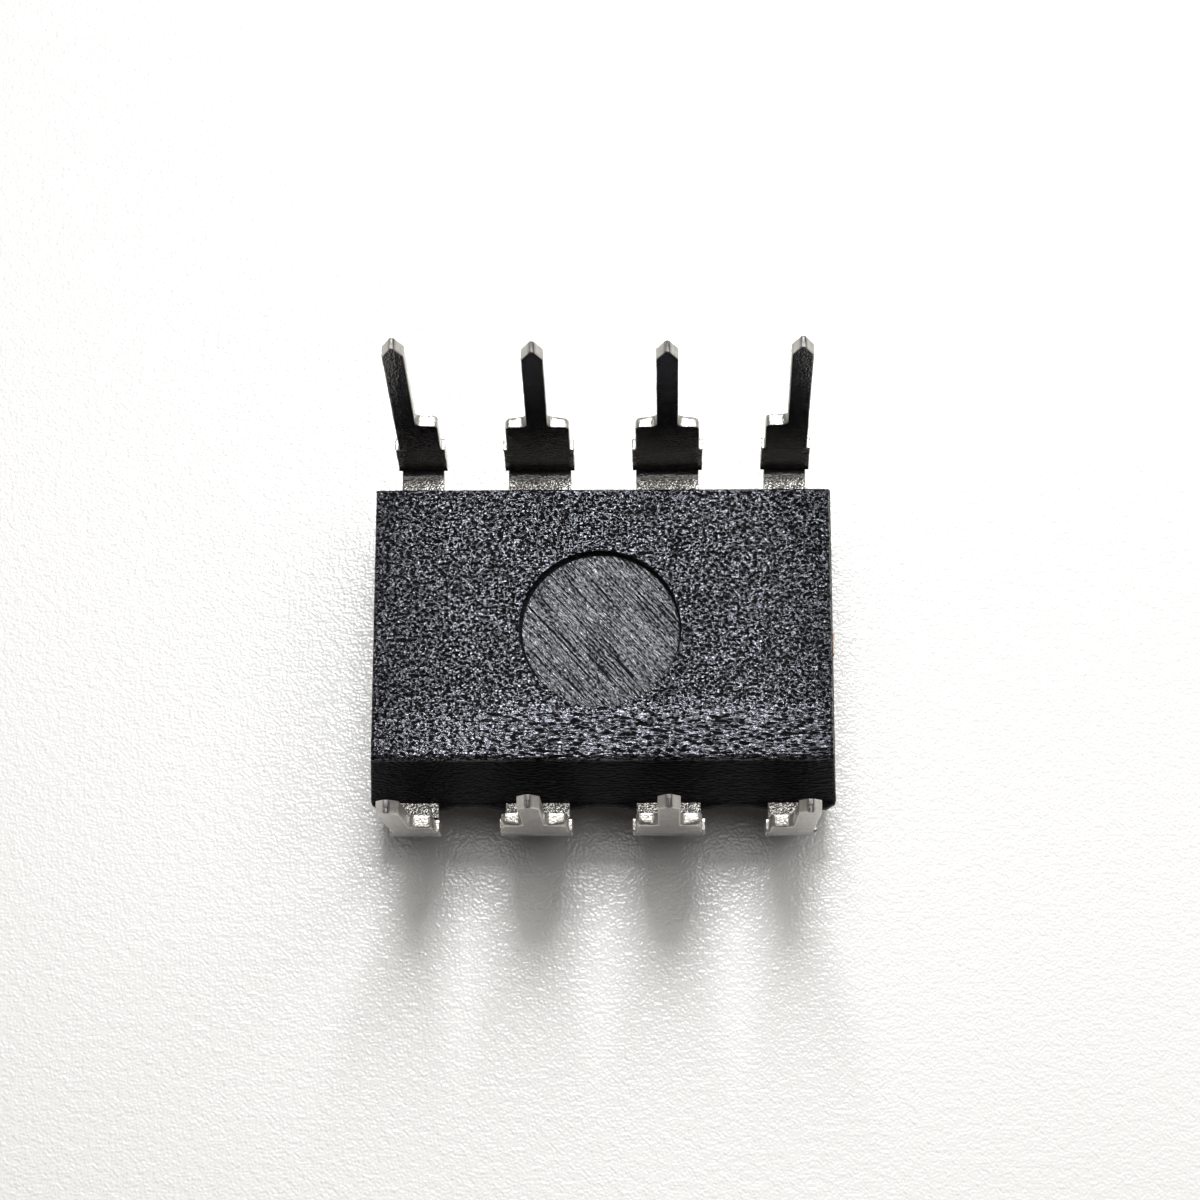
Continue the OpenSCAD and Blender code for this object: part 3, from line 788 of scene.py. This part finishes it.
# One edge of a lead from the finger to the tip, as outward distance and path, and the path of the core line
# that the rings of the same number bend towards. A full edge has the shoulder's step; a bare one has none.
def leadEdge(full, finger, splay, shape):
    half = shape["shoulderWidth"] / 2 if full else shape["legWidth"] / 2
    leg = shape["legWidth"] / 2
    stub = half + shape["stubOverhang"]
    stubLow, stubHigh = stubPaths(splay, shape)
    step = pathOf(shape["shoulderLength"], splay, shape)
    taper = pathOf(shape["shoulderLength"] + shape["legLength"] - shape["tipTaper"], splay, shape)
    tip = taper + shape["tipTaper"] - shape["endRound"]
    fillet, corner = shape["stepFillet"], shape["stepCorner"]
    lag = shape["coreLag"]
    rows = [np.array([[*finger[0], finger[0][1]]])]

    def runTo(station, steps):
        rows.append(between(rows[-1][-1], station, steps))

    def roundTo(across, path, core, bareHalf):
        rows.append(np.stack([across, path, core] if full else [np.full(len(core), bareHalf), core, core], -1))

    for place, steps in zip(finger[1:], (14, 6, 8)):
        runTo([*place, place[1]], steps)
    runTo([half, stubLow, stubLow], 12)
    runTo([stub, stubLow, stubLow + 0.03], 3)
    runTo([stub, stubHigh, stubHigh - 0.03], 22)
    runTo([half, stubHigh, stubHigh], 3)
    cornerCore = step - lag
    runTo([half, step - corner if full else cornerCore, cornerCore], 20)
    a = np.linspace(0, math.pi / 2, 7)[1:]
    core = cornerCore + lag * 0.35 * np.linspace(0, 1, 7)[1:]
    roundTo(half - corner * (1 - np.cos(a)), step - corner * (1 - np.sin(a)), core, half)
    runTo([leg + fillet, step, step - 0.02] if full else [half, step - 0.02, step - 0.02], 6)
    core = step - 0.02 + (fillet + 0.02) * np.linspace(0, 1, 8)[1:]
    a = np.linspace(0, math.pi / 2, 8)[1:]
    roundTo(leg + fillet * (1 - np.sin(a)), step + fillet * (1 - np.cos(a)), core, leg)
    runTo([leg, taper, taper], 48)
    runTo([shape["tipWidth"] / 2, tip, tip], 10)
    return np.concatenate(rows)


# Unit normals that point into the sheet from an edge curve: the mean direction of the two neighbouring steps,
# turned a quarter towards the sheet, which lies on the side given.
def inwardNormals(edge, side):
    step = np.diff(edge, axis=0)
    step /= np.maximum(np.linalg.norm(step, axis=1, keepdims=True), 1e-9)
    mean = np.concatenate([step[:1], step[:-1] + step[1:], step[-1:]])
    mean /= np.maximum(np.linalg.norm(mean, axis=1, keepdims=True), 1e-9)
    return np.stack([mean[:, 1], -mean[:, 0]], -1) * side


# Rounding of the outer edge at each ring: outerEdge, and at the step's corner more by (1 - (s / reach)^2)^2,
# where s is the way along the edge from the corner, which is where the edge first turns in above the bend.
def outerRoll(edge, shape):
    way = np.concatenate([[0], np.cumsum(np.linalg.norm(np.diff(edge[:, :2], axis=0), axis=1))])
    shoulder = np.abs(edge[:, 0]).max() * 0.8
    wide = (edge[:, 1] > 1.0) & (np.abs(edge[:, 0]) > shoulder)
    if not wide.any():
        return np.full(len(edge), shape["outerEdge"])
    corner = way[np.nonzero(wide)[0][-1]]
    fall = np.clip(1 - ((way - corner) / shape["rollReach"])**2, 0, 1)**2
    return shape["outerEdge"] + shape["cornerRoll"] * fall


# Closed section of the sheet at each ring, as points (across, path, through) and how much each one is sheared.
# The flat faces run between the two inset edges, bowed towards the core line; the sheared faces join them by
# quarter rounds, the outer one larger.
def leadSections(left, right, bowed, shape):
    half = shape["sheet"] / 2
    rolls = [outerRoll(edge, shape)[:, None] for edge in (left, right)]
    normals = [inwardNormals(left[:, :2], 1), inwardNormals(right[:, :2], -1)]
    core = left[:, 2] if bowed else None
    share = np.linspace(0, 1, facePoints)[:, None]
    bow = 1 - (2 * share - 1)**2

    def flatFace(insets, through):
        a = left[:, :2] + normals[0] * insets[0]
        b = right[:, :2] + normals[1] * insets[1]
        face = a[None] + (b - a)[None] * share[..., None]
        if bowed:
            face[..., 1] += (core - (a[:, 1] + b[:, 1]) / 2)[None] * bow
        return raised(face, through)

    def shearedFace(edge, normal, roll):
        rows = []
        innerRound = np.full_like(roll, shape["innerEdge"])
        for radius, side in ((innerRound, -1), (roll, 1)):
            turns = np.linspace(math.pi / 2, 0, 5)[1:] if side < 0 else np.linspace(0, math.pi / 2, 5)[:-1]
            for turn in turns:
                place = edge + normal * radius * (1 - math.cos(turn))
                through = side * (half - radius * (1 - math.sin(turn)))
                rows.append(np.concatenate([place, through], -1))
            if side < 0:
                low, high = -half + innerRound, half - roll
                for k in (1, 2, 3):
                    rows.append(np.concatenate([edge, low + (high - low) * k / 4], -1))
        return np.stack(rows)

    inner = flatFace([shape["innerEdge"]] * 2, -half)
    outer = flatFace(rolls, half)
    rightFace = shearedFace(right[:, :2], normals[1], rolls[1])
    leftFace = shearedFace(left[:, :2], normals[0], rolls[0])[::-1]
    loop = np.concatenate([inner, rightFace, outer[::-1], leftFace])
    sheared = np.repeat([0.0, 1.0, 0.0, 1.0], [facePoints, cutPoints, facePoints, cutPoints])
    return loop.transpose(1, 0, 2), sheared


# Rows that close an end of the sheet: the section's thickness shrinks to its middle over a small rounding. In
# the last row each point meets its partner on the other face.
def endCap(section, direction, rounding):
    rows = []
    partner = (2 * facePoints + cutPoints - 1 - np.arange(len(section))) % len(section)
    for turn in np.linspace(0, math.pi / 2, 4)[1:]:
        row = section.copy()
        row[:, 1] += direction * rounding * math.sin(turn)
        row[:, 2] *= 1 - 0.12 * (1 - math.cos(turn))
        rows.append(row)
    for share in (0.6, 0.3, 0.0):
        row = rows[-1].copy()
        row[:, 2] *= share
        rows.append(row)
    rows[-1] = (rows[-1] + rows[-1][partner]) / 2
    return np.stack(rows)


# Lead n: two edge curves, a section carried along them, bent into shape, moved to its place in its row. Corner
# leads have no outer half of the shoulder, and their finger turns in towards the end of the paddle.
def makeLead(n, shape, material):
    placeInRow = n - 1 if n <= 4 else 8 - n
    x = (placeInRow - 1.5) * shape["pitch"]
    corner = placeInRow in (0, 3)
    splay = shape["cornerSplay"] if corner else shape["splay"]
    side = 1 if x > 0 else -1
    shift = -bendStart(splay, shape) - bendMiddle(shape) * (math.pi / 2 - splay)  # from y in the body to path
    half, leg = shape["shoulderWidth"] / 2, shape["legWidth"] / 2
    wallPlace = bodyShape["halfWidth"]
    lock = shape["lockPlace"]
    low, high = shape["cornerFinger"]
    if corner:
        outerFinger = [(-shape["cornerReach"], low), (-leg, low), (leg, lock - shape["fingerWidth"]),
                       (leg, wallPlace)]
        innerFinger = [(shape["cornerReach"], high), (half + leg, high),
                       (half, high + shape["fingerWidth"] / 2), (half, wallPlace)]
    else:
        narrow = shape["fingerWidth"] / 2
        outerFinger = [(narrow, shape["fingerEnd"]), (narrow, lock - half / 2), (half, lock), (half, wallPlace)]
        innerFinger = outerFinger
    outer = leadEdge(not corner, [(a, b + shift) for a, b in outerFinger], splay, shape)
    inner = leadEdge(True, [(a, b + shift) for a, b in innerFinger], splay, shape)
    stubLow, stubHigh = stubPaths(splay, shape)
    stubs = (outer[:, 1] > stubLow - 1e-6) & (outer[:, 1] < stubHigh + 1e-6)
    for edge, seed in ((outer, 2 * n), (inner, 2 * n + 1)):
        tear = smoothNoise(edge[:, [1, 1, 1]] * (14, 0, 0), seed) - 0.6
        wave = smoothNoise(edge[:, [1, 1, 1]] * (3, 0, 0), seed + 40) - 0.5
        edge[:, 0] += np.where(stubs, tear * shape["tear"], 0) + wave * shape["wave"]
    outer[:, 0] *= side
    inner[:, 0] *= -side
    left, right = (inner, outer) if side > 0 else (outer, inner)
    loop, sheared = leadSections(left, right, not corner, shape)
    rows = np.concatenate([endCap(loop[0], -1, shape["endRound"])[::-1], loop,
                           endCap(loop[-1], 1, shape["endRound"])])
    path = rows.reshape(-1, 3).copy()
    path[:, 0] += 7.0 * n  # every lead has its own part of the pattern
    lean = math.tan(shape["firstLean"]) if n == 1 else 0
    y, z = bendSheet(rows, splay, shape)
    rowSide = 1 if n <= 4 else -1
    x = x + rows[..., 0] - np.maximum(rows[..., 1], 0) * lean
    points = np.stack([x, rowSide * y, z], -1).reshape(-1, 3)
    quads = gridQuads(len(rows), rows.shape[1], 0, closed=True)
    shear = np.tile(sheared, len(rows))
    return makePiece("lead%d" % n, points, quads, [material], attributes={"path": path, "sheared": shear})


# Camera, floor and light

cameraPlace = {
    "tilt": math.radians(16.90),  # away from straight down, towards the -Y row
    "roll": math.radians(3.66),
    "yaw": math.radians(-3.61),
    "distance": 67.214,
    "focalPixels": 3410.858,
    "imageSide": 1200,
    "offCentre": (0.071, -0.911),  # of the parting plane's middle, across and up, in millimetres
}


# Camera axes: back is the part's +Z tipped by the tilt and turned by the yaw, and the roll turns right and up
# about it. The lens is the focal length in pixels over the image's side, times the sensor's width.
def makeCamera(place):
    tilt, roll, yaw = place["tilt"], place["roll"], place["yaw"]
    across = np.array([math.cos(yaw), -math.sin(yaw), 0])
    upward = np.array([math.sin(yaw) * math.cos(tilt), math.cos(yaw) * math.cos(tilt), math.sin(tilt)])
    back = np.array([-math.sin(yaw) * math.sin(tilt), -math.cos(yaw) * math.sin(tilt), math.cos(tilt)])
    right = math.cos(roll) * across - math.sin(roll) * upward
    up = math.sin(roll) * across + math.cos(roll) * upward
    cameraAt = -place["offCentre"][0] * right - place["offCentre"][1] * up + place["distance"] * back
    cameraAt[2] += partingHeight
    data = bpy.data.cameras.new("camera")
    data.sensor_width = 36
    data.lens = place["focalPixels"] / place["imageSide"] * data.sensor_width
    data.clip_start, data.clip_end = 0.001, 10
    camera = addObject("camera", data)
    turned = np.eye(4)
    turned[:3, :3] = np.stack([right, up, back], -1)
    turned[:3, 3] = cameraAt * mm
    camera.matrix_world = Matrix(turned.tolist())
    bpy.context.scene.camera = camera


floorLook = {
    "colour": (0.72, 0.71, 0.693),
    "shade": (0.69, 0.678, 0.658),
    "half": 400.0,
    "steps": 40,
    "grainPerMm": 5.5,  # fine leathery grain
    "bump": 0.014,
    "finePerMm": 17.0,
    "fineBump": 0.011,
    "cloudPerMm": 0.05,
    "gloss": 0.22,
    "shine": 0.7,
}


# Floor: a level square grid. Its fine leathery grain is smooth noise in the bump.
def makeFloor(look):
    material, tree, shader = startMaterial(
        "paleFloor", Roughness=look["gloss"], Specular_IOR_Level=look["shine"])
    places = objectPlaces(tree)
    grain = noiseField(tree, places, look["grainPerMm"] * perMm, 2.0, 0.5, 0.1)
    fine = noiseField(tree, places, look["finePerMm"] * perMm, 0.5, 0.5)
    cloud = noiseField(tree, places, look["cloudPerMm"] * perMm, 2.0, 0.5)
    normal = addBump(tree, grain, look["bump"] * mm)
    feed(tree, shader, Normal=addBump(tree, fine, look["fineBump"] * mm, under=normal),
         Base_Color=mixColours(tree, remap(tree, cloud, 0.3, 0.7), look["shade"], look["colour"]))
    line = np.linspace(-look["half"], look["half"], look["steps"] + 1)
    x, y = np.meshgrid(line, line)
    points = np.stack([x, y, np.zeros_like(x)], -1).reshape(-1, 3)
    return makePiece("floor", points, gridQuads(len(line), len(line)), [material])


lightPlan = {
    "sky": (1.0, 0.955, 0.90),
    "skyStrength": 0.06,
    "key": {"away": math.radians(28.5), "towards": math.radians(88), "distance": 100.0, "size": 33.0,
            "power": 0.075, "colour": (0.97, 0.985, 1.0)},
    "side": {"away": math.radians(40), "towards": math.radians(31), "distance": 110.0, "size": 40.0,
             "power": 0.022, "colour": (0.98, 0.99, 1.0)},
    "top": {"away": math.radians(22), "towards": math.radians(70), "distance": 190.0, "size": 220.0,
            "power": 0.280, "colour": (1.0, 0.985, 0.96)},
}


# Soft square light that faces the part: away is its angle from straight up, towards its bearing from +X.
def makeLight(name, plan):
    data = bpy.data.lights.new(name, "AREA")
    data.shape = "SQUARE"
    data.size = plan["size"] * mm
    data.energy = plan["power"]
    data.color = plan["colour"]
    ridgeSheen = addObject(name, data)
    away, towards = plan["away"], plan["towards"]
    direction = Vector((math.sin(away) * math.cos(towards), math.sin(away) * math.sin(towards), math.cos(away)))
    ridgeSheen.location = direction * plan["distance"] * mm
    ridgeSheen.rotation_mode = "QUATERNION"
    ridgeSheen.rotation_quaternion = direction.to_track_quat("Z", "Y")
    ridgeSheen.visible_camera = False


# Weak even light from all around.
def makeSky(plan):
    world = bpy.data.worlds.new("sky")
    bpy.context.scene.world = world
    world.use_nodes = True
    background = world.node_tree.nodes["Background"]
    background.inputs["Color"].default_value = (*plan["sky"], 1)
    background.inputs["Strength"].default_value = plan["skyStrength"]


makeCamera(cameraPlace)
floor = makeFloor(floorLook)
makeSky(lightPlan)
for lightName in ("key", "side", "top"):
    makeLight(lightName + "Light", lightPlan[lightName])
bpy.context.scene.view_settings.view_transform = "Standard"
print("stage: camera, floor and lights")

body = makeBody(bodyShape, [mouldCompound(mouldLook), ejectorFloor(ejectorLook)])
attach(body, "root")
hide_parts("moulded_body")
print("moulded body: %d faces" % len(body.data.polygons))

tin = tinPlate(tinLook)
for n in range(1, 9):
    lead = makeLead(n, leadShape, tin)
    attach(lead, "root")
    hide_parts("lead_%d" % n)
print("leads: %d faces each" % len(lead.data.polygons))

for start, look in innerLooks.items():
    finish = innerFinish(look)
    for name, node in frame["nodes"].items():
        if name.startswith(start):
            node.data.materials.clear()
            node.data.materials.append(finish)
print("inside: paddle, adhesive, die and wires finished")
